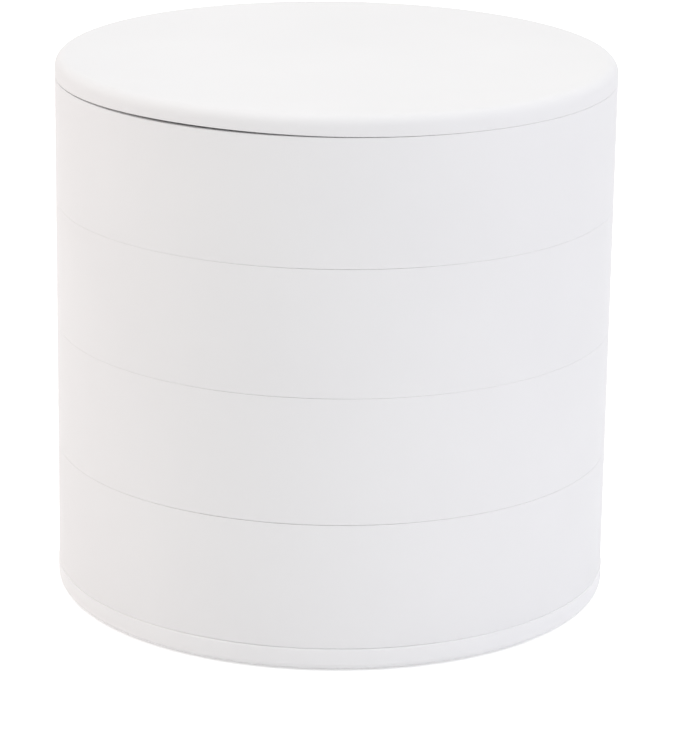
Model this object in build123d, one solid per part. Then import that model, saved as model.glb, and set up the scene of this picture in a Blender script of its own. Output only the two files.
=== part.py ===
from build123d import *
import math
import os

# A round, stacked jewelry box: four trays of one size under a flat lid, on a thin base.
# A steel pin near the back wall runs through them all, and each tray above the lowest,
# and the lid, swings a full turn about it. Millimetres, +Z up, front at -Y,
# origin at the centre of the footprint.

# Whole box
outer_diameter = 102.0
tier_pitch = 23.0
tier_gap = 0.06
lid_gap = 0.26
edge_break = 0.12

# Trays
tray_count = 4
wall = 2.0
floor_thickness = 1.6
divider_thickness = 1.6
pocket_draft_degrees = 1.0
pocket_corner_radius = 4.5
scoop_radius = 3.0
rim_ledge = 0.3
rim_flare = 0.4
cavity_rim_width = 3.2

# Pivot
pivot_inset = 9.5
pin_diameter = 4.0
pillar_radius = 6.8
running_clearance = 0.05
seat_clearance = 0.02
bush_wall = 1.0
bush_end_clearance = 0.02
thrust_washer_thickness = 1.0
thrust_washer_width = 2.5
pin_head_radius = 4.4
pin_head_thickness = 0.7
pin_end_chamfer = 0.4

# Clamp under the pivot
nut_across_flats = 7.0
nut_height = 2.9
nut_collar_height = 0.9
nut_collar_radius = 3.0
nut_washer_radius = 4.5
nut_washer_thickness = 0.8
disc_spring_radius = 4.4
disc_spring_thickness = 0.4
disc_spring_height = 0.9
clamp_pocket_clearance = 0.5
pin_end_margin = 0.7

# Lid
lid_height = 3.3
lid_edge_round = 2.1
lid_top_wall = 1.0
lid_rim_width = 2.4
lid_ledge_width = 1.4
lid_plate_thickness = 1.0
lid_plate_boss_thickness = 1.25
lid_plate_boss_radius = 6.2
lid_plate_side_clearance = 0.1
lid_rib_thickness = 0.8
lid_rib_clearance = 0.05
lid_spoke_count = 6
lid_ring_rib_share = 0.5

# Base
foot_radius = 6.0
foot_height = 1.0
foot_stand = 0.3
foot_side_clearance = 0.1
foot_inset = 14.0
base_height = 4.1
base_overhang = 0.15
base_floor = 1.7
base_rim_width = 2.6
base_upper_round = 0.55
base_lower_round = 1.4
base_rib_thickness = 1.2
base_rib_count = 8
base_hub_radius = 9.0
base_locating_lip = 1.2
base_locating_clearance = 0.15
bottom_tray_floor_height = 4.6

# Screws
screw_radius = 1.3
screw_hole_clearance = 0.15
screw_grip = 3.4
screw_tip_length = 0.8
screw_head_radius = 2.5
screw_head_height = 1.4
screw_head_clearance = 0.2
screw_boss_wall = 1.6
screw_blind_margin = 0.4

# How far a cutting solid runs past the face it opens
overrun = 1.0

outer_radius = outer_diameter / 2
inner_radius = outer_radius - wall
pivot_offset = outer_radius - pivot_inset
pin_radius = pin_diameter / 2
pin_bore_radius = pin_radius + running_clearance
bush_radius = pin_bore_radius + bush_wall
thrust_washer_radius = pin_bore_radius + thrust_washer_width
seat_drop = thrust_washer_thickness - tier_gap
pivot = (0, pivot_offset)

base_radius = outer_radius + base_overhang
base_bottom = foot_stand
base_top = base_bottom + base_height
tray_height = tier_pitch - tier_gap
stack_top = base_top + tray_count * tier_pitch - tier_gap
lid_bottom = stack_top + lid_gap
lid_top = lid_bottom + lid_height
lid_washer_thickness = seat_drop + lid_gap

screw_boss_radius = screw_radius + screw_boss_wall
foot_seat = foot_height
screw_head_seat = foot_seat + screw_head_clearance + screw_head_height
foot_reach = (outer_radius - foot_inset) / math.sqrt(2)
foot_places = {
    "front_left_foot": (-foot_reach, -foot_reach),
    "front_right_foot": (foot_reach, -foot_reach),
    "back_right_foot": (foot_reach, foot_reach),
    "back_left_foot": (-foot_reach, foot_reach),
}

pin_end = base_bottom + base_floor + pin_end_margin
nut_bottom = pin_end + pin_end_margin
nut_top = nut_bottom + nut_height
nut_washer_top = nut_top + nut_washer_thickness
clamp_roof = nut_washer_top + disc_spring_height
clamp_pocket_radius = nut_washer_radius + clamp_pocket_clearance


def disc(radius, bottom, top, place=(0, 0)):
    """A plain upright disc between two heights."""
    align = (Align.CENTER, Align.CENTER, Align.MIN)
    return Pos(place[0], place[1], bottom) * Cylinder(radius, top - bottom, align=align)


def ring(outer, inner, bottom, top, place=(0, 0)):
    """A flat ring between two heights."""
    hole = disc(inner, bottom - overrun, top + overrun, place)
    return disc(outer, bottom, top, place) - hole


def block(low, high):
    """A box between two corners."""
    size = [high[i] - low[i] for i in range(len(low))]
    align = (Align.MIN, Align.MIN, Align.MIN)
    return Pos(*low) * Box(*size, align=align)


def edges_at(solid, height, radius):
    """The full circles of one radius at one height."""
    circles = solid.edges().filter_by(GeomType.CIRCLE)
    level = circles.filter_by_position(Axis.Z, height, height)
    return [edge for edge in level if math.isclose(edge.radius, radius, abs_tol=seat_clearance)]


def pillar_keepout():
    """The plan of the pivot pillar and the web that ties it to the wall."""
    web_depth = outer_radius - pivot_offset
    web = Pos(pivot[0], pivot[1] + web_depth / 2) * Rectangle(2 * pillar_radius, web_depth)
    return Pos(*pivot) * Circle(pillar_radius) + web


def divider(start, end):
    """The plan of one straight divider between two points."""
    line = Vector(*end) - Vector(*start)
    middle = (Vector(*start) + Vector(*end)) / 2
    angle = math.degrees(math.atan2(line.Y, line.X))
    return Pos(middle.X, middle.Y) * Rot(0, 0, angle) * Rectangle(line.length, divider_thickness)


def pocket_plans(dividers):
    """The plans of the compartments that a tray's dividers leave."""
    plan = Circle(inner_radius) - pillar_keepout()
    for start, end in dividers:
        plan -= divider(start, end)
    plans = []
    for face in plan.faces():
        outline = Sketch() + face
        corners = [corner for corner in outline.vertices() if is_corner(outline, corner)]
        plans.append(fillet(corners, pocket_corner_radius))
    return plans


def is_corner(outline, vertex):
    """Whether the outline turns at this vertex, rather than running on smoothly."""
    tangents = []
    for edge in outline.edges():
        for share in (0, 1):
            if (edge.position_at(share) - Vector(vertex)).length < seat_clearance:
                tangents.append(edge.tangent_at(share))
    turn = tangents[0].cross(tangents[1]).length
    return turn > math.sin(math.radians(pocket_draft_degrees))


def pocket(plan, floor_top, rim):
    """One compartment: drafted walls and a scooped floor, as the mould's core has."""
    mouth_floor = rim - seat_drop
    core_top = mouth_floor + overrun
    core = extrude(Pos(0, 0, core_top) * plan, amount=floor_top - core_top).solid()
    sides = core.faces().filter_by(Axis.Z, reverse=True)
    core = core.draft(sides, Plane((0, 0, mouth_floor), z_dir=(0, 0, -1)), pocket_draft_degrees)
    floor_edges = core.faces().sort_by(Axis.Z)[0].edges()
    return fillet(floor_edges, scoop_radius)


def mouth(rim):
    """The shallow flared mouth that sets dividers and pillar below the rim."""
    radius = inner_radius + rim_ledge
    return Pos(0, 0, rim - seat_drop / 2) * Cone(radius, radius + rim_flare, seat_drop)


def tray_blank(bottom, rim):
    """The outer drum of a tray, with its two outer edges broken."""
    drum = disc(outer_radius, bottom, rim)
    drum = chamfer(edges_at(drum, rim, outer_radius), edge_break)
    return chamfer(edges_at(drum, bottom, outer_radius), edge_break)


def moving_tray(bottom, dividers):
    """A tray that swings: drum, compartments, pivot pillar and bored bush seat."""
    rim = bottom + tray_height
    tray = tray_blank(bottom, rim) - mouth(rim)
    for plan in pocket_plans(dividers):
        tray -= pocket(plan, bottom + floor_thickness, rim)
    tray -= disc(bush_radius + seat_clearance, bottom - overrun, rim + overrun, pivot)
    return tray


def bottom_tray(dividers):
    """The lowest tray: raised floor over a cavity for the pin's nut and the screws."""
    bottom = base_top
    rim = bottom + tray_height
    tray = tray_blank(bottom, rim) - mouth(rim)
    floor_top = bottom + bottom_tray_floor_height
    for plan in pocket_plans(dividers):
        tray -= pocket(plan, floor_top, rim)
    cavity_roof = floor_top - floor_thickness
    cavity = disc(outer_radius - cavity_rim_width, bottom - overrun, cavity_roof)
    tray -= cavity - disc(pillar_radius, bottom - overrun, cavity_roof, pivot)
    for place in foot_places.values():
        tray += disc(screw_boss_radius, bottom, cavity_roof + floor_thickness / 2, place)
        hole_top = screw_head_seat + screw_grip + screw_tip_length + screw_blind_margin
        tray -= disc(screw_radius + seat_clearance, bottom - overrun, hole_top, place)
    tray -= disc(pin_bore_radius, bottom - overrun, rim + overrun, pivot)
    tray -= disc(clamp_pocket_radius, bottom - overrun, clamp_roof, pivot)
    return tray


def pivot_bush(bottom, top):
    """The bearing sleeve pressed into a tray's pillar or the lid's plate."""
    return ring(bush_radius, pin_bore_radius, bottom + bush_end_clearance, top - bush_end_clearance, pivot)


def thrust_washer(bottom, top):
    """The slippery ring that carries the tier above at the pivot."""
    return ring(thrust_washer_radius, pin_bore_radius, bottom, top, pivot)


def lid_cover():
    """The lid's top shell: soft outer edge, hollow underside with a ledge and ribs."""
    shell = disc(outer_radius, lid_bottom, lid_top)
    shell = fillet(edges_at(shell, lid_top, outer_radius), lid_edge_round)
    shell = chamfer(edges_at(shell, lid_bottom, outer_radius), edge_break)
    plate_radius = outer_radius - lid_rim_width
    roof = lid_top - lid_top_wall
    ledge = lid_bottom + lid_plate_thickness
    shell -= disc(plate_radius, lid_bottom - overrun, ledge)
    hollow_radius = plate_radius - lid_ledge_width
    shell -= disc(hollow_radius, ledge - overrun, roof)
    rib_foot = ledge + lid_rib_clearance
    rib_top = roof + lid_top_wall / 2
    ribs = ring(lid_ring_rib_share * hollow_radius, lid_ring_rib_share * hollow_radius - lid_rib_thickness,
                rib_foot, rib_top)
    for index in range(lid_spoke_count):
        spoke = block((0, -lid_rib_thickness / 2, rib_foot),
                      (hollow_radius + lid_ledge_width / 2, lid_rib_thickness / 2, rib_top))
        ribs += Rot(0, 0, (index + 1 / 2) * 360 / lid_spoke_count) * spoke
    head_room = pin_head_radius + lid_rib_thickness
    ribs += disc(head_room + lid_rib_thickness, rib_foot, rib_top, pivot)
    ribs -= disc(head_room, rib_foot - overrun, roof, pivot)
    boss_seat = lid_bottom + lid_plate_boss_thickness + lid_rib_clearance
    boss_room = disc(lid_plate_boss_radius + lid_plate_side_clearance, rib_foot - overrun, boss_seat, pivot)
    return shell + ribs - boss_room


def lid_plate():
    """The lid's flat underside, let in flush and bored for the bush."""
    radius = outer_radius - lid_rim_width - lid_plate_side_clearance
    plate = disc(radius, lid_bottom, lid_bottom + lid_plate_thickness)
    plate += disc(lid_plate_boss_radius, lid_bottom, lid_bottom + lid_plate_boss_thickness, pivot)
    plate -= disc(bush_radius + seat_clearance, lid_bottom - overrun, lid_top, pivot)
    return plate


def pivot_pin():
    """The steel pin: a thin flat head in the lid and a chamfered end at the nut."""
    head_bottom = lid_bottom + lid_plate_boss_thickness
    shank = disc(pin_radius, pin_end, head_bottom, pivot)
    shank = chamfer(edges_at(shank, pin_end, pin_radius), pin_end_chamfer)
    head_top = head_bottom + pin_head_thickness
    head = disc(pin_head_radius, head_bottom, head_top, pivot)
    head = chamfer(edges_at(head, head_top, pin_head_radius), pin_head_thickness / 2)
    return shank + head


def lock_nut():
    """A hex lock nut with its collar at the bottom."""
    corner_radius = nut_across_flats / math.sqrt(3)
    collar_top = nut_bottom + nut_collar_height
    hexagon = extrude(RegularPolygon(corner_radius, 6), amount=nut_top - collar_top)
    nut = Pos(pivot[0], pivot[1], collar_top) * hexagon
    nut += disc(nut_collar_radius, nut_bottom, collar_top, pivot)
    return nut - disc(pin_radius + seat_clearance, nut_bottom - overrun, nut_top + overrun, pivot)


def disc_spring():
    """A coned disc spring, which keeps the stack lightly clamped."""
    rise = disc_spring_height - disc_spring_thickness
    inner = pin_bore_radius
    outer = disc_spring_radius
    with BuildPart() as spring:
        with BuildSketch(Plane.XZ):
            with BuildLine():
                Polyline(
                    (outer, nut_washer_top),
                    (outer, nut_washer_top + disc_spring_thickness),
                    (inner, nut_washer_top + rise + disc_spring_thickness),
                    (inner, nut_washer_top + rise),
                    close=True,
                )
            make_face()
        revolve(axis=Axis.Z)
    return Pos(pivot[0], pivot[1], 0) * spring.part


def base_cover():
    """The thin base, a little wider than the trays: rounded edges, ribs, screw bosses, foot seats."""
    cover = disc(base_radius, base_bottom, base_top)
    cover = fillet(edges_at(cover, base_bottom, base_radius), base_lower_round)
    cover = fillet(edges_at(cover, base_top, base_radius), base_upper_round)
    floor_top = base_bottom + base_floor
    hollow_radius = outer_radius - base_rim_width
    cover -= disc(hollow_radius, floor_top, base_top + overrun)
    hub_clear = disc(base_hub_radius, floor_top - overrun, base_top + overrun, pivot)
    for index in range(base_rib_count):
        rib = block((0, -base_rib_thickness / 2, base_bottom + base_floor / 2),
                    (hollow_radius + base_rim_width / 2, base_rib_thickness / 2, base_top))
        cover += Rot(0, 0, (index + 1 / 2) * 360 / base_rib_count) * rib - hub_clear
    lip_outer = outer_radius - cavity_rim_width - base_locating_clearance
    lip_bottom = base_bottom + base_floor / 2
    lip_top = base_top + base_locating_lip
    lip = ring(lip_outer, lip_outer - base_rib_thickness, lip_bottom, lip_top)
    cover += lip - disc(base_hub_radius, floor_top, lip_top + overrun, pivot)
    for place in foot_places.values():
        cover += disc(screw_boss_radius, base_bottom + base_floor / 2, base_top, place)
    for place in foot_places.values():
        cover -= disc(foot_radius + foot_side_clearance, base_bottom - overrun, foot_seat, place)
        cover -= disc(screw_head_radius + screw_hole_clearance, base_bottom - overrun, screw_head_seat, place)
        cover -= disc(screw_radius + screw_hole_clearance, base_bottom - overrun, base_top + overrun, place)
    return cover


def rubber_foot(place):
    """A round pad let into the base, which also hides its screw."""
    return disc(foot_radius, 0, foot_height, place)


def cover_screw(place):
    """A pan-head plastics screw, driven up from below."""
    head_bottom = screw_head_seat - screw_head_height
    head = disc(screw_head_radius, head_bottom, screw_head_seat, place)
    shank_top = screw_head_seat + screw_grip
    shank = disc(screw_radius, screw_head_seat, shank_top, place)
    tip_middle = shank_top + screw_tip_length / 2
    tip = Pos(place[0], place[1], tip_middle) * Cone(screw_radius, screw_radius / 2, screw_tip_length)
    return head + shank + tip


def write(shape, node):
    """Write one node, whatever solids it holds."""
    export_step(shape, f"parts/{node}.step")


# Dividers of each tray, from the lowest up, each from point to point in the plan
half = outer_radius - wall / 2
pillar_front = pivot_offset - pillar_radius / 2
cross = ((-half, 0), (half, 0))
back_half = ((0, 0), (0, pillar_front))
front_half = ((0, -half), (0, 0))
layouts = {
    "lower_tray": [cross],
    "upper_tray": [cross, front_half],
    "top_tray": [cross, back_half, front_half],
}


def main():
    os.makedirs("parts", exist_ok=True)

    write(base_cover(), "base_cover")
    for node, place in foot_places.items():
        write(rubber_foot(place), node)
    write(Compound(children=[cover_screw(place) for place in foot_places.values()]), "cover_screws")

    write(bottom_tray([]), "bottom_tray")
    write(pivot_pin(), "pivot_pin")
    write(lock_nut(), "lock_nut")
    write(ring(nut_washer_radius, pin_bore_radius, nut_top, nut_washer_top, pivot), "nut_washer")
    write(disc_spring(), "disc_spring")

    for level, (node, dividers) in enumerate(layouts.items(), start=1):
        bottom = base_top + level * tier_pitch
        pillar_top = bottom + tray_height - seat_drop
        write(moving_tray(bottom, dividers), node)
        write(pivot_bush(bottom, pillar_top), f"{node}_bush")
        write(thrust_washer(bottom - thrust_washer_thickness, bottom), f"{node}_washer")

    write(lid_cover(), "lid_cover")
    write(lid_plate(), "lid_plate")
    write(pivot_bush(lid_bottom, lid_bottom + lid_plate_boss_thickness), "lid_bush")
    write(thrust_washer(lid_bottom - lid_washer_thickness, lid_bottom), "lid_washer")


main()
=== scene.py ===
import math

import bmesh
import bpy
from mathutils import Matrix, Vector
from mathutils.geometry import tessellate_polygon


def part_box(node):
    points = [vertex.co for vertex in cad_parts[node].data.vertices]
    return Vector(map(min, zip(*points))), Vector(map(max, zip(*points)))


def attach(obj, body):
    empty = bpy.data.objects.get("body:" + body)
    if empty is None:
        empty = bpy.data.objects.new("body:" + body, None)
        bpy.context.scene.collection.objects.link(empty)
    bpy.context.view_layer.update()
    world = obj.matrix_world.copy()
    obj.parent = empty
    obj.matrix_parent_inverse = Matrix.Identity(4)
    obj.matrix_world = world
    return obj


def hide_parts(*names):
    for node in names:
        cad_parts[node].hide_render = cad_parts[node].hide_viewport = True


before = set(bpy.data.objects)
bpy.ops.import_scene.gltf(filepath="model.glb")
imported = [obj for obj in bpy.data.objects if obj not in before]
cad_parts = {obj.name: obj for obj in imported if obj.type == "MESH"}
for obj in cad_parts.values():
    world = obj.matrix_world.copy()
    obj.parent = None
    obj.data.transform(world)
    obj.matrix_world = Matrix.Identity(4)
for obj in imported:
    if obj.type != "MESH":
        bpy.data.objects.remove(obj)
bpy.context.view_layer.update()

# Units
MM = 0.001

# Sizes read from the frame
outer_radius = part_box("lid_cover")[1].x
lid_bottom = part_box("lid_plate")[0].z
lid_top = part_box("lid_cover")[1].z
base_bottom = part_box("base_cover")[0].z
base_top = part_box("bottom_tray")[0].z
base_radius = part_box("base_cover")[1].x
tray_nodes = ["bottom_tray", "lower_tray", "upper_tray", "top_tray"]
tray_bottoms = {node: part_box(node)[0].z for node in tray_nodes}
tray_rims = {node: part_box(node)[1].z for node in tray_nodes}
pin_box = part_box("pivot_pin")
pivot = Vector(((pin_box[0].x + pin_box[1].x) / 2, (pin_box[0].y + pin_box[1].y) / 2))
foot_nodes = ["front_left_foot", "front_right_foot", "back_right_foot", "back_left_foot"]
foot_places = [(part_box(node)[0].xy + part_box(node)[1].xy) / 2 for node in foot_nodes]
screw_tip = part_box("cover_screws")[1].z

# Tray sizes
wall = 2.0 * MM
floor_thickness = 1.6 * MM
divider_thickness = 1.6 * MM
rim_ledge = 0.3 * MM
rim_flare = 0.4 * MM
mouth_depth = 0.94 * MM
pocket_corner_radius = 4.5 * MM
scoop_radius = 3.0 * MM
pocket_draft = math.radians(1.0)
divider_round = 0.22 * MM
lip_round = 0.04 * MM
pillar_radius = 6.8 * MM
bush_bore_radius = 3.07 * MM
pin_bore_radius = 2.05 * MM
bottom_tray_floor_height = 4.6 * MM
cavity_rim_width = 3.2 * MM
clamp_pocket_radius = 5.0 * MM
clamp_pocket_depth = 4.4 * MM
screw_boss_radius = 2.9 * MM
screw_hole_radius = 1.32 * MM
screw_blind_margin = 0.4 * MM

# Lid sizes
lid_edge_round = 2.1 * MM
lid_rim_width = 2.4 * MM
lid_ledge_width = 1.4 * MM
lid_top_wall = 1.0 * MM
lid_plate_thickness = 1.0 * MM
lid_low_edge_round = 0.07 * MM

# Base sizes: the round that the frame's mesh has, and the widest round that takes its place
base_upper_round = 0.55 * MM
base_edge_round = 0.5 * MM
same_place = 0.001 * MM

# A tray's outer edges are turned with this round, and then fitted to the seams that they border
turned_edge_round = 0.2 * MM

# The seams are widest at the front and the back and narrower at the sides. By the piece above:
# the round of the trays' edges, the gap, where it is widest in front and how far round it stays so.
# Under the lid the tray's edge is even, and the gap has sizes of its own.
seam_least_share = 0.4
seam_back_spread = math.radians(42)
seams = {
    "bottom_tray": (0.2 * MM, 0.0, math.radians(-4), math.radians(28)),
    "lower_tray": (0.14 * MM, 0.055 * MM, math.radians(-9), math.radians(20)),
    "upper_tray": (0.095 * MM, 0.035 * MM, math.radians(-9), math.radians(14)),
    "top_tray": (0.11 * MM, 0.042 * MM, math.radians(-1), math.radians(13)),
    "lid": (0.08 * MM, 0.0, 0.0, math.inf),
}

# The gap under the lid is widest left of the front and nearly shut at the right
lid_gap_least = 0.025 * MM
lid_gap_swell = 0.45 * MM
lid_gap_widest_at = math.radians(-33)
lid_gap_spread = math.radians(24)

# The top tray's rim and the lid's lower edge lie this much below the height that the frame gives
lid_seam_drop = 0.12 * MM

# Mesh fineness
around_steps = 288
bore_steps = 48
round_steps = 5
lid_edge_steps = 14
scoop_steps = 10
corner_steps = 10
smooth_angle = math.radians(30)

# The ways an arc of a profile starts and ends, in degrees
OUT, UP, IN, DOWN = 0, 90, 180, -90

# A point counts as on a round up to this many times its size from its corner
round_reach = 1.01

# Camera, fitted to the photograph's outline and seams, its angles in radians
camera_distance = 623.62 * MM
camera_height = 231.21 * MM
camera_yaw = 0.00209
camera_pitch = 0.29873
camera_roll = 0.01403
focal_pixels = 3503.8
image_long_side_pixels = 748
sensor_width_mm = 36.0
nearest_seen = 0.01
farthest_seen = 20.0


def ring(bm, points):
    """Vertices along one closed loop."""
    return [bm.verts.new(point) for point in points]


def bridge(bm, first, second):
    """Quads between two closed loops of one length."""
    count = len(first)
    for index in range(count):
        after = (index + 1) % count
        bm.faces.new((first[index], first[after], second[after], second[index]))


def cap(bm, loops):
    """A flat face bounded by the first loop, with the others as holes in it."""
    flat = [vertex for loop in loops for vertex in loop]
    outlines = [[vertex.co for vertex in loop] for loop in loops]
    for triangle in tessellate_polygon(outlines):
        bm.faces.new([flat[index] for index in triangle])


def circle_points(radius, height, steps=around_steps, centre=(0.0, 0.0)):
    """Points of a level circle."""
    turns = [2 * math.pi * index / steps for index in range(steps)]
    return [(centre[0] + radius * math.cos(a), centre[1] + radius * math.sin(a), height) for a in turns]


def turned_strip(bm, profile, steps=around_steps, centre=(0.0, 0.0)):
    """Rings turned from a radius and height profile, joined into a strip."""
    rings = [ring(bm, circle_points(radius, height, steps, centre)) for radius, height in profile]
    for first, second in zip(rings, rings[1:]):
        bridge(bm, first, second)
    return rings


def arc_profile(centre_radius, centre_height, radius, start, end, steps=round_steps):
    """Profile points along an arc, angles in degrees from the outward direction."""
    points = []
    for index in range(steps + 1):
        angle = math.radians(start + (end - start) * index / steps)
        points.append((centre_radius + radius * math.cos(angle), centre_height + radius * math.sin(angle)))
    return points


def finished(bm, name, body, node_names):
    """The mesh as an object that rides on its body in place of its CAD nodes."""
    bmesh.ops.recalc_face_normals(bm, faces=bm.faces)
    mesh = bpy.data.meshes.new(name)
    bm.to_mesh(mesh)
    bm.free()
    piece = bpy.data.objects.new(name, mesh)
    bpy.context.scene.collection.objects.link(piece)
    for polygon in mesh.polygons:
        polygon.use_smooth = True
    mesh.set_sharp_from_angle(angle=smooth_angle)
    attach(piece, body)
    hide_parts(*node_names)
    return piece


# Compartment outlines. Each is a closed path with its inside on the left: a list of
# (corner, way to the next corner), where a way is ("line",) or ("arc", centre, radius, turn).
inner_radius = outer_radius - wall
half_divider = divider_thickness / 2
wall_at_divider = math.sqrt(inner_radius ** 2 - half_divider ** 2)
wall_at_pillar = math.sqrt(inner_radius ** 2 - pillar_radius ** 2)
pillar_at_divider = pivot.y - math.sqrt(pillar_radius ** 2 - half_divider ** 2)
centre = Vector((0.0, 0.0))
wall_arc = ("arc", centre, inner_radius, 1)
pillar_arc = ("arc", pivot, pillar_radius, -1)
line = ("line",)

front_half = [(Vector((-wall_at_divider, -half_divider)), wall_arc),
              (Vector((wall_at_divider, -half_divider)), line)]
front_left = [(Vector((-wall_at_divider, -half_divider)), wall_arc),
              (Vector((-half_divider, -wall_at_divider)), line),
              (Vector((-half_divider, -half_divider)), line)]
back_half = [(Vector((-wall_at_divider, half_divider)), line),
             (Vector((wall_at_divider, half_divider)), wall_arc),
             (Vector((pillar_radius, wall_at_pillar)), line),
             (Vector((pillar_radius, pivot.y)), pillar_arc),
             (Vector((-pillar_radius, pivot.y)), line),
             (Vector((-pillar_radius, wall_at_pillar)), wall_arc)]
back_left = [(Vector((-wall_at_divider, half_divider)), line),
             (Vector((-half_divider, half_divider)), line),
             (Vector((-half_divider, pillar_at_divider)), pillar_arc),
             (Vector((-pillar_radius, pivot.y)), line),
             (Vector((-pillar_radius, wall_at_pillar)), wall_arc)]
whole_well = [(Vector((-pillar_radius, wall_at_pillar)), wall_arc),
              (Vector((pillar_radius, wall_at_pillar)), line),
              (Vector((pillar_radius, pivot.y)), pillar_arc),
              (Vector((-pillar_radius, pivot.y)), line)]


def mirrored(outline):
    """The same compartment on the other side, inside still on the left."""
    corners = [Vector((-corner.x, corner.y)) for corner, way in outline]
    ways = [way for corner, way in outline]
    count = len(outline)
    return [(corners[-index % count], ways[(-index - 1) % count]) for index in range(count)]


tray_outlines = {
    "bottom_tray": [whole_well],
    "lower_tray": [front_half, back_half],
    "upper_tray": [front_left, mirrored(front_left), back_half],
    "top_tray": [front_left, mirrored(front_left), back_left, mirrored(back_left)],
}


def inward(way, start, end, point):
    """The unit vector into the compartment from a point on one side of it."""
    if way[0] == "line":
        along = (end - start).normalized()
        return Vector((-along.y, along.x))
    outward = (point - way[1]).normalized()
    return -outward if way[3] > 0 else outward


def heading(way, start, end, point):
    """The direction of travel along a side at a point on it."""
    normal = inward(way, start, end, point)
    return Vector((normal.y, -normal.x))


def offset_side(way, start, end, distance):
    """A side moved inwards: ("line", point, direction) or ("circle", centre, radius)."""
    if way[0] == "line":
        shift = inward(way, start, end, start) * distance
        return ("line", start + shift, (end - start).normalized())
    return ("circle", way[1], way[2] - way[3] * distance)


def crossings(first, second):
    """Where two offset sides meet."""
    if first[0] == "line" and second[0] == "line":
        cross = first[2].x * second[2].y - first[2].y * second[2].x
        gap = second[1] - first[1]
        reach = (gap.x * second[2].y - gap.y * second[2].x) / cross
        return [first[1] + first[2] * reach]
    if first[0] == "circle" and second[0] == "line":
        first, second = second, first
    if first[0] == "line":
        gap = first[1] - second[1]
        middle = -gap.dot(first[2])
        spread = math.sqrt(middle ** 2 - gap.dot(gap) + second[2] ** 2)
        return [first[1] + first[2] * (middle + sign * spread) for sign in (-1, 1)]
    apart = second[1] - first[1]
    length = apart.length
    along = (length ** 2 + first[2] ** 2 - second[2] ** 2) / (2 * length)
    across = math.sqrt(first[2] ** 2 - along ** 2)
    axis = apart / length
    side = Vector((-axis.y, axis.x))
    return [first[1] + axis * along + side * sign * across for sign in (-1, 1)]


def touch_point(way, start, end, point):
    """The foot of a fillet's centre on a side."""
    if way[0] == "line":
        along = (end - start).normalized()
        return start + along * (point - start).dot(along)
    return way[1] + (point - way[1]).normalized() * way[2]


def arc_samples(middle, start, end, turn, steps):
    """Points and unit radii from one point of a circle to another."""
    first = math.atan2(start.y - middle.y, start.x - middle.x)
    last = math.atan2(end.y - middle.y, end.x - middle.x)
    sweep = (last - first) * turn % (2 * math.pi)
    radius = (start - middle).length
    samples = []
    for index in range(steps + 1):
        angle = first + turn * sweep * index / steps
        out = Vector((math.cos(angle), math.sin(angle)))
        samples.append((middle + out * radius, out))
    return samples


def rounded_outline(outline, radius=pocket_corner_radius):
    """Points with inward unit vectors round a compartment, its corners filleted."""
    count = len(outline)
    sides = []
    for index, (start, way) in enumerate(outline):
        sides.append((way, start, outline[(index + 1) % count][0]))
    corners = []
    for index in range(count):
        before, after = sides[index - 1], sides[index]
        corner = outline[index][0]
        turn = heading(*before, corner).cross(heading(*after, corner))
        if abs(turn) < math.sin(pocket_draft):
            corners.append((corner, corner, None))
            continue
        middle = min(crossings(offset_side(*before, radius), offset_side(*after, radius)),
                     key=lambda point: (point - corner).length)
        corners.append((touch_point(*before, middle), touch_point(*after, middle), middle))
    samples = []
    for index, (way, start, end) in enumerate(sides):
        leave, arrive = corners[index][1], corners[(index + 1) % count][0]
        if corners[index][2] is not None:
            samples += [(point, -out) for point, out in
                        arc_samples(corners[index][2], corners[index][0], leave, 1, corner_steps)[:-1]]
        if way[0] == "line":
            samples.append((leave, inward(way, start, end, leave)))
            continue
        turn = way[3]
        whole = arc_samples(way[1], leave, arrive, turn, 1)
        sweep = whole[0][1].angle(whole[1][1])
        crosswise = turn * (whole[0][1].x * whole[1][1].y - whole[0][1].y * whole[1][1].x)
        sweep = sweep if crosswise > 0 else 2 * math.pi - sweep
        steps = max(2, round(sweep / (2 * math.pi) * around_steps * way[2] / inner_radius) + 2)
        samples += [(point, -out * turn) for point, out in
                    arc_samples(way[1], leave, arrive, turn, steps)[:-1]]
    return samples


def add_pocket(bm, outline, mouth_floor, floor_top):
    """One compartment's inside, from its rounded lip down its drafted wall to its scooped floor."""
    samples = rounded_outline(outline)
    levels = []
    for index in range(round_steps):
        angle = math.pi / 2 * index / round_steps
        levels.append((-divider_round * (1 - math.sin(angle)),
                       mouth_floor - divider_round * (1 - math.cos(angle))))
    wall_foot = floor_top + scoop_radius
    for share in (0, 1):
        height = mouth_floor - divider_round + share * (wall_foot - mouth_floor + divider_round)
        levels.append(((mouth_floor - height) * math.tan(pocket_draft), height))
    foot = levels[-1][0]
    for index in range(1, scoop_steps + 1):
        angle = math.pi / 2 * index / scoop_steps
        levels.append((foot + scoop_radius * (1 - math.cos(angle)),
                       wall_foot - scoop_radius * math.sin(angle)))
    loops = []
    for shift, height in levels:
        loops.append(ring(bm, [(*(point + normal * shift), height) for point, normal in samples]))
    for first, second in zip(loops, loops[1:]):
        bridge(bm, first, second)
    cap(bm, [loops[-1]])
    return loops[0]


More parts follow.
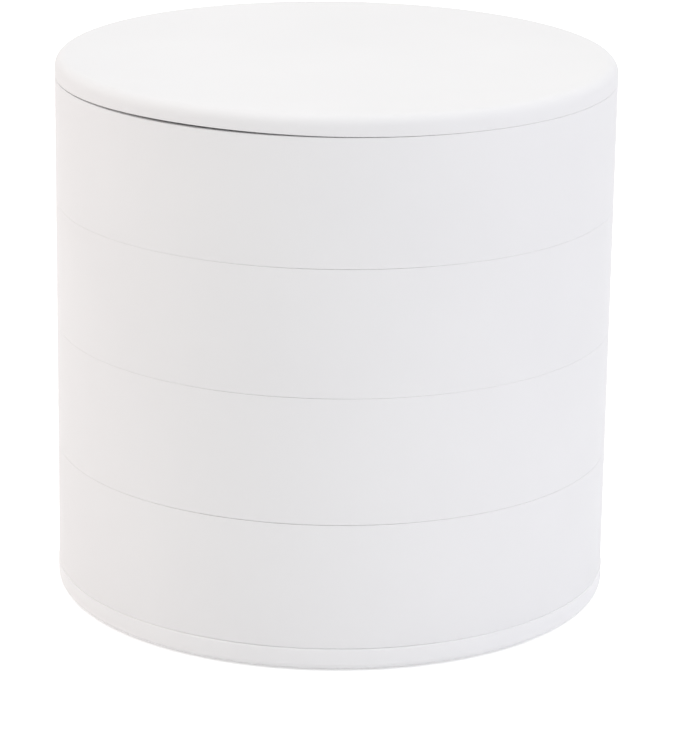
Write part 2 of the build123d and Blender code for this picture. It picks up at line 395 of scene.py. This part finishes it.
def bottom_cavity(bm, bottom, roof, foot_ring, pocket_ring):
    """The room under the lowest tray's floor, with the pivot's tube and the screw bosses in it."""
    cavity_radius = outer_radius - cavity_rim_width
    meetings = crossings(("circle", centre, cavity_radius), ("circle", pivot, pillar_radius))
    left, right = sorted(meetings, key=lambda point: point.x)
    samples = arc_samples(centre, left, right, 1, around_steps)[:-1]
    samples += arc_samples(pivot, right, left, -1, bore_steps)[:-1]
    low = ring(bm, [(*point, bottom) for point, out in samples])
    high = ring(bm, [(*point, roof) for point, out in samples])
    bridge(bm, low, high)
    cap(bm, [foot_ring, low, pocket_ring])
    boss_tops = []
    hole_top = screw_tip + screw_blind_margin
    for place in foot_places:
        boss_side = [(screw_boss_radius, bottom), (screw_boss_radius, roof)]
        hole_side = [(screw_hole_radius, bottom), (screw_hole_radius, hole_top)]
        boss = turned_strip(bm, boss_side, bore_steps, place)
        hole = turned_strip(bm, hole_side, bore_steps, place)
        cap(bm, [boss[0], hole[0]])
        cap(bm, [hole[1]])
        boss_tops.append(boss[1])
    cap(bm, [high, *boss_tops])


def swell(place, widest_at, spread):
    """One where a seam is widest round the wall, and nought away from there."""
    turn = math.atan2(place.x, -place.y) - widest_at
    turn = math.atan2(math.sin(turn), math.cos(turn))
    return math.exp(-(turn / spread) ** 2 / 2)


def seam_share(piece_above, place):
    """The share of its full width that a seam has at a place round it."""
    in_front = swell(place, *seams[piece_above][2:])
    behind = swell(place, math.pi, seam_back_spread)
    return seam_least_share + (1 - seam_least_share) * max(in_front, behind)


def fit_seams(bm, node):
    """Bring a tray's outer edges to the rounds and gaps of the seams under and over it."""
    bottom, rim = tray_bottoms[node], tray_rims[node]
    level_in_stack = tray_nodes.index(node)
    piece_above = list(seams)[level_in_stack + 1]
    reach = turned_edge_round * round_reach
    for vertex in bm.verts:
        radius = vertex.co.xy.length
        for level, piece in ((bottom, node), (rim, piece_above)):
            if radius > outer_radius - reach and abs(vertex.co.z - level) < reach:
                share = seam_share(piece, vertex.co) * seams[piece][0] / turned_edge_round
                vertex.co.z = level + (vertex.co.z - level) * share
                vertex.co.xy *= (outer_radius - (outer_radius - radius) * share) / radius
        if level_in_stack > 0 and vertex.co.z < bottom + reach and radius > inner_radius:
            rim_below = tray_rims[tray_nodes[level_in_stack - 1]]
            vertex.co.z += rim_below + seams[node][1] * seam_share(node, vertex.co) - bottom
        if node == "top_tray" and vertex.co.z > rim - reach:
            vertex.co.z -= lid_seam_drop


def tray_mesh(node, body):
    """A moulded tray as one closed mesh: turned outside, compartments, pillar and bore."""
    bm = bmesh.new()
    bottom, rim = tray_bottoms[node], tray_rims[node]
    mouth_floor = rim - mouth_depth
    ledge_radius = inner_radius + rim_ledge
    flare_top = ledge_radius + rim_flare
    edge = turned_edge_round
    outside = [(ledge_radius, mouth_floor)]
    outside += arc_profile(flare_top + lip_round, rim - lip_round, lip_round, IN, UP)
    outside += arc_profile(outer_radius - edge, rim - edge, edge, UP, OUT)
    outside += arc_profile(outer_radius - edge, bottom + edge, edge, OUT, DOWN)
    if node == "bottom_tray":
        floor_top = bottom + bottom_tray_floor_height
        pocket_top = bottom + clamp_pocket_depth
        bore = [(clamp_pocket_radius, bottom), (clamp_pocket_radius, pocket_top),
                (pin_bore_radius, pocket_top), (pin_bore_radius, mouth_floor)]
    else:
        floor_top = bottom + floor_thickness
        bore = [(bush_bore_radius, bottom), (bush_bore_radius, mouth_floor)]
    rings = turned_strip(bm, outside)
    bore_rings = turned_strip(bm, bore, bore_steps, pivot)
    if node == "bottom_tray":
        bottom_cavity(bm, bottom, floor_top - floor_thickness, rings[-1], bore_rings[0])
    else:
        cap(bm, [rings[-1], bore_rings[0]])
    lips = [add_pocket(bm, outline, mouth_floor, floor_top) for outline in tray_outlines[node]]
    cap(bm, [rings[0], bore_rings[-1], *lips])
    fit_seams(bm, node)
    return finished(bm, f"{node}_shell", body, [node])


def lid_gap(place):
    """The gap under the lid's edge at a place round it."""
    return lid_gap_least + lid_gap_swell * swell(place, lid_gap_widest_at, lid_gap_spread)


def lid_shell_mesh():
    """The lid's shell: flat top, soft edge, straight band and the hollow for its plate."""
    bm = bmesh.new()
    roof = lid_top - lid_top_wall
    plate_radius = outer_radius - lid_rim_width
    hollow_radius = plate_radius - lid_ledge_width
    ledge = lid_bottom + lid_plate_thickness
    high, low = lid_edge_round, lid_low_edge_round
    profile = arc_profile(outer_radius - high, lid_top - high, high, UP, OUT, lid_edge_steps)
    profile += arc_profile(outer_radius - low, lid_bottom + low, low, OUT, DOWN)
    profile += [(plate_radius, lid_bottom), (plate_radius, ledge)]
    profile += [(hollow_radius, ledge), (hollow_radius, roof)]
    rings = turned_strip(bm, profile)
    cap(bm, [rings[0]])
    cap(bm, [rings[-1]])
    for vertex in bm.verts:
        if vertex.co.z < lid_bottom + low * round_reach:
            vertex.co.z += tray_rims["top_tray"] - lid_seam_drop + lid_gap(vertex.co) - lid_bottom
    return finished(bm, "lid_shell", "lid", ["lid_cover"])


def turn_of(vertex):
    """The angle of a vertex round the middle."""
    return math.atan2(vertex.co.y, vertex.co.x)


def zip_rings(bm, first, second):
    """Triangles between two rings of different counts, both in order round the middle."""
    loops = [[*first, first[0]], [*second, second[0]]]
    steps = []
    for side, loop in enumerate(loops):
        steps += [(turn_of(vertex), side) for vertex in loop[1:-1]]
        steps.append((turn_of(loop[0]) + 2 * math.pi, side))
    at = [0, 0]
    for turn, side in sorted(steps):
        here = [loops[0][at[0]], loops[1][at[1]]]
        at[side] += 1
        bm.faces.new((*here, loops[side][at[side]]))


def cut_upper_edge(bm):
    """Take off the base's rounded upper edge. Gives the rings that it leaves open, low and high."""
    flat_radius = base_radius - base_upper_round
    edge_foot = base_top - base_upper_round
    skin = []
    for face in bm.faces:
        heights = [vertex.co.z for vertex in face.verts]
        outside = all(vertex.co.xy.length > flat_radius - same_place for vertex in face.verts)
        if outside and min(heights) > edge_foot - same_place and min(heights) < base_top - same_place:
            skin.append(face)
    bmesh.ops.delete(bm, geom=skin, context="FACES")
    open_verts = {vertex for edge in bm.edges if edge.is_boundary for vertex in edge.verts}
    middle = (edge_foot + base_top) / 2
    low = sorted((vertex for vertex in open_verts if vertex.co.z < middle), key=turn_of)
    high = sorted((vertex for vertex in open_verts if vertex.co.z > middle), key=turn_of)
    return low, high


def base_shell_mesh():
    """The base cover as the frame has it, with its upper edge turned again in even steps."""
    bm = bmesh.new()
    bm.from_mesh(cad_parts["base_cover"].data)
    bmesh.ops.remove_doubles(bm, verts=bm.verts, dist=same_place)
    low, high = cut_upper_edge(bm)
    for step in range(round_steps + 1):
        points = []
        for vertex in low:
            size = base_edge_round * seam_share("bottom_tray", vertex.co)
            radius, height = arc_profile(base_radius - size, base_top - size, size, OUT, UP)[step]
            turn = turn_of(vertex)
            points.append((radius * math.cos(turn), radius * math.sin(turn), height))
        row = ring(bm, points)
        bridge(bm, low, row)
        low = row
    zip_rings(bm, low, high)
    return finished(bm, "base_shell", "base", ["base_cover"])


shells = [tray_mesh(node, "base" if node == "bottom_tray" else node) for node in tray_nodes]
shells.append(lid_shell_mesh())
base_shell = base_shell_mesh()

# Finishes. Fineness is in waves to a metre, and shades are linear.
cloud_fineness = 22.0
patch_fineness = 60.0
patch_roughness_play = 0.04
grain_height = 0.05 * MM
smudge_fineness = 180.0
smudge_shade = 0.88
line_fineness = 400.0
line_crowding = 24.0
line_smoother = 0.06
line_rougher = 0.08
line_strength = 0.15
line_height = 0.03 * MM
dust_fineness = 300.0
dust_start = 0.35
dust_end = 0.75
rubber_shine = 0.35
rubber_least_rough = 0.72
rubber_most_rough = 0.88
pebble_fineness = 2200.0
pebble_strength = 0.4
pebble_height = 0.08 * MM
steel_shade = (0.62, 0.62, 0.63)
steel_roughness = 0.32
rubber_shades = ((0.37, 0.37, 0.37), (0.43, 0.43, 0.43))

# Plastics: low and high shade, roughness, shine, fineness of the grain and its strength
plastic_finishes = {
    "white_plastic": ((0.86, 0.86, 0.862), (0.885, 0.885, 0.885), 0.56, 0.2, 3500.0, 0.2),
    # Painted highlight: the base cover's plastic is a lighter copy of the white plastic, so the base shows
    # brighter than the lamps light it. This stands in for the bright band along its upper edge.
    "base_plastic_painted_lighter": ((0.88, 0.88, 0.882), (0.905, 0.905, 0.905), 0.5, 0.3, 3500.0, 0.2),
    "acetal": ((0.79, 0.79, 0.77), (0.83, 0.83, 0.81), 0.42, 0.4, 5000.0, 0.12),
    "nylon": ((0.77, 0.76, 0.71), (0.81, 0.8, 0.75), 0.5, 0.35, 4200.0, 0.25),
}
node_finishes = {
    "white_plastic": ["lid_plate"],
    "acetal": ["lower_tray_bush", "upper_tray_bush", "top_tray_bush", "lid_bush"],
    "nylon": ["lower_tray_washer", "upper_tray_washer", "top_tray_washer", "lid_washer"],
    "steel": ["pivot_pin", "lock_nut", "nut_washer", "disc_spring", "cover_screws"],
    "foot_rubber": foot_nodes,
}


def new_material(name):
    """An empty node material with its shader and output."""
    material = bpy.data.materials.new(name)
    material.use_nodes = True
    tree = material.node_tree
    shader = next(node for node in tree.nodes if node.type == "BSDF_PRINCIPLED")
    return material, tree, shader


def noise(tree, fineness, octaves=3.0, vector=None):
    """A noise texture on object coordinates."""
    coordinates = tree.nodes.new("ShaderNodeTexCoord")
    texture = tree.nodes.new("ShaderNodeTexNoise")
    texture.inputs["Scale"].default_value = fineness
    texture.inputs["Detail"].default_value = octaves
    tree.links.new(vector or coordinates.outputs["Object"], texture.inputs["Vector"])
    return texture


def ramp(tree, source, low, high, start=0.3, end=0.7):
    """A colour ramp from one colour to another."""
    node = tree.nodes.new("ShaderNodeValToRGB")
    node.color_ramp.elements[0].position = start
    node.color_ramp.elements[0].color = (*low, 1)
    node.color_ramp.elements[1].position = end
    node.color_ramp.elements[1].color = (*high, 1)
    tree.links.new(source, node.inputs["Fac"])
    return node


def spread(tree, source, low, high):
    """A value spread between two ends."""
    node = tree.nodes.new("ShaderNodeMapRange")
    node.inputs["To Min"].default_value = low
    node.inputs["To Max"].default_value = high
    tree.links.new(source, node.inputs["Value"])
    return node


def bump(tree, shader, height, strength, distance):
    """A bump from a height value."""
    node = tree.nodes.new("ShaderNodeBump")
    node.inputs["Strength"].default_value = strength
    node.inputs["Distance"].default_value = distance
    tree.links.new(height, node.inputs["Height"])
    tree.links.new(node.outputs["Normal"], shader.inputs["Normal"])
    return node


def moulded_plastic(name, low, high, roughness, shine, grain_fineness, grain_strength):
    """Satin moulded plastic: even colour with faint flow clouding and a fine spark grain."""
    material, tree, shader = new_material(name)
    shader.inputs["Specular IOR Level"].default_value = shine
    cloud = noise(tree, cloud_fineness)
    colour = ramp(tree, cloud.outputs["Fac"], low, high)
    tree.links.new(colour.outputs["Color"], shader.inputs["Base Color"])
    patches = noise(tree, patch_fineness, octaves=2.0)
    rough = spread(tree, patches.outputs["Fac"], roughness - patch_roughness_play,
                   roughness + patch_roughness_play)
    tree.links.new(rough.outputs["Result"], shader.inputs["Roughness"])
    grain = noise(tree, grain_fineness)
    bump(tree, shader, grain.outputs["Fac"], grain_strength, grain_height)
    return material


def brushed_steel(name, colour, roughness):
    """Turned or stamped steel: fine lines round the axis, faint smudges in its sheen."""
    material, tree, shader = new_material(name)
    shader.inputs["Metallic"].default_value = 1.0
    smudges = noise(tree, smudge_fineness)
    tone = ramp(tree, smudges.outputs["Fac"], [part * smudge_shade for part in colour], colour)
    tree.links.new(tone.outputs["Color"], shader.inputs["Base Color"])
    coordinates = tree.nodes.new("ShaderNodeTexCoord")
    stretch = tree.nodes.new("ShaderNodeMapping")
    stretch.inputs["Scale"].default_value = (1.0, 1.0, line_crowding)
    tree.links.new(coordinates.outputs["Object"], stretch.inputs["Vector"])
    lines = noise(tree, line_fineness, octaves=4.0, vector=stretch.outputs["Vector"])
    rough = spread(tree, lines.outputs["Fac"], roughness - line_smoother, roughness + line_rougher)
    tree.links.new(rough.outputs["Result"], shader.inputs["Roughness"])
    bump(tree, shader, lines.outputs["Fac"], line_strength, line_height)
    return material


def moulded_rubber(name, low, high):
    """Matt rubber: a pebbled skin with dusty high spots."""
    material, tree, shader = new_material(name)
    shader.inputs["Specular IOR Level"].default_value = rubber_shine
    dust = noise(tree, dust_fineness, octaves=4.0)
    colour = ramp(tree, dust.outputs["Fac"], low, high, dust_start, dust_end)
    tree.links.new(colour.outputs["Color"], shader.inputs["Base Color"])
    rough = spread(tree, dust.outputs["Fac"], rubber_least_rough, rubber_most_rough)
    tree.links.new(rough.outputs["Result"], shader.inputs["Roughness"])
    pebbles = noise(tree, pebble_fineness, octaves=2.0)
    bump(tree, shader, pebbles.outputs["Fac"], pebble_strength, pebble_height)
    return material


def set_material(piece, material):
    """One material all over, in each slot that the piece has."""
    if not piece.material_slots:
        piece.data.materials.append(material)
    for slot in piece.material_slots:
        slot.material = material


materials = {name: moulded_plastic(name, *finish) for name, finish in plastic_finishes.items()}
materials["steel"] = brushed_steel("steel", steel_shade, steel_roughness)
materials["foot_rubber"] = moulded_rubber("foot_rubber", *rubber_shades)
for piece in shells:
    set_material(piece, materials["white_plastic"])
# The base cover takes the lighter copy of the white plastic: painted highlight
set_material(base_shell, materials["base_plastic_painted_lighter"])
for finish, nodes in node_finishes.items():
    for node in nodes:
        set_material(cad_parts[node], materials[finish])

# Floor, world, lights and camera
floor_half_side = 4.0
floor_white = 0.97
floor_roughness = 0.8
floor_lift = 0.5
world_strength = 0.485

# Soft boxes: degrees round from the front towards the right, degrees up, metres away,
# metres across, watts and colour
soft_boxes = {
    "right_box": (63, 12, 1.2, 0.6, 2.5, (0.85, 0.84, 1.0)),
    "left_box": (-92, 18, 1.2, 0.8, 2.5, (1.0, 0.79, 0.72)),
    "top_box": (0, 85, 1.2, 1.8, 11.2, (1.0, 1.0, 1.0)),
}


def unlit_ray(tree):
    """One for a ray that only looks, from the camera, a gloss or a clear part, and nought for light."""
    path = tree.nodes.new("ShaderNodeLightPath")
    total = path.outputs["Is Camera Ray"]
    for kind in ("Is Glossy Ray", "Is Transmission Ray"):
        either = tree.nodes.new("ShaderNodeMath")
        either.operation = "MAXIMUM"
        tree.links.new(total, either.inputs[0])
        tree.links.new(path.outputs[kind], either.inputs[1])
        total = either.outputs["Value"]
    return total


def studio_floor():
    """A pale floor that the camera sees as white, apart from the shadow on it."""
    bm = bmesh.new()
    corners = [(-1, -1), (1, -1), (1, 1), (-1, 1)]
    bm.faces.new([bm.verts.new((x * floor_half_side, y * floor_half_side, 0.0)) for x, y in corners])
    mesh = bpy.data.meshes.new("studio_floor")
    bm.to_mesh(mesh)
    bm.free()
    floor = bpy.data.objects.new("studio_floor", mesh)
    bpy.context.scene.collection.objects.link(floor)
    material, tree, shader = new_material("pale_floor")
    shader.inputs["Base Color"].default_value = (floor_white, floor_white, floor_white, 1)
    shader.inputs["Roughness"].default_value = floor_roughness
    lift = spread(tree, unlit_ray(tree), 0.0, floor_lift)
    tree.links.new(lift.outputs["Result"], shader.inputs["Emission Strength"])
    shader.inputs["Emission Color"].default_value = (1, 1, 1, 1)
    floor.data.materials.append(material)


def studio_world():
    """An even pale surrounding light that is seen as white."""
    world = bpy.data.worlds.new("studio")
    bpy.context.scene.world = world
    world.use_nodes = True
    tree = world.node_tree
    background = tree.nodes["Background"]
    background.inputs["Color"].default_value = (1, 1, 1, 1)
    strength = spread(tree, unlit_ray(tree), world_strength, 1.0)
    tree.links.new(strength.outputs["Result"], background.inputs["Strength"])


def soft_box(name, around, up, away, across, watts, colour):
    """A square soft box aimed at the middle of the box."""
    data = bpy.data.lights.new(name, "AREA")
    data.energy = watts
    data.size = across
    data.color = colour
    lamp = bpy.data.objects.new(name, data)
    turn, rise = math.radians(around), math.radians(up)
    offset = Vector((math.sin(turn) * math.cos(rise), -math.cos(turn) * math.cos(rise), math.sin(rise)))
    lamp.location = Vector((0, 0, (lid_top + base_bottom) / 2)) + offset * away
    lamp.rotation_mode = "QUATERNION"
    lamp.rotation_quaternion = (-offset).to_track_quat("-Z", "Y")
    bpy.context.scene.collection.objects.link(lamp)


studio_floor()
studio_world()
for name, setting in soft_boxes.items():
    soft_box(name, *setting)


def photo_camera():
    """The camera that the photograph was taken with, relative to the box."""
    forward = Vector((math.sin(camera_yaw) * math.cos(camera_pitch),
                      math.cos(camera_yaw) * math.cos(camera_pitch), -math.sin(camera_pitch)))
    right = Vector((math.cos(camera_yaw), -math.sin(camera_yaw), 0.0))
    up = right.cross(forward)
    turned_right = right * math.cos(camera_roll) + up * math.sin(camera_roll)
    turned_up = up * math.cos(camera_roll) - right * math.sin(camera_roll)
    data = bpy.data.cameras.new("photo_camera")
    data.sensor_width = sensor_width_mm
    data.lens = focal_pixels * sensor_width_mm / image_long_side_pixels
    data.clip_start = nearest_seen
    data.clip_end = farthest_seen
    camera = bpy.data.objects.new("photo_camera", data)
    matrix = Matrix((turned_right, turned_up, -forward)).transposed().to_4x4()
    matrix.translation = (0.0, -camera_distance, camera_height)
    camera.matrix_world = matrix
    bpy.context.scene.collection.objects.link(camera)
    bpy.context.scene.camera = camera


photo_camera()
bpy.context.scene.view_settings.view_transform = "Standard"
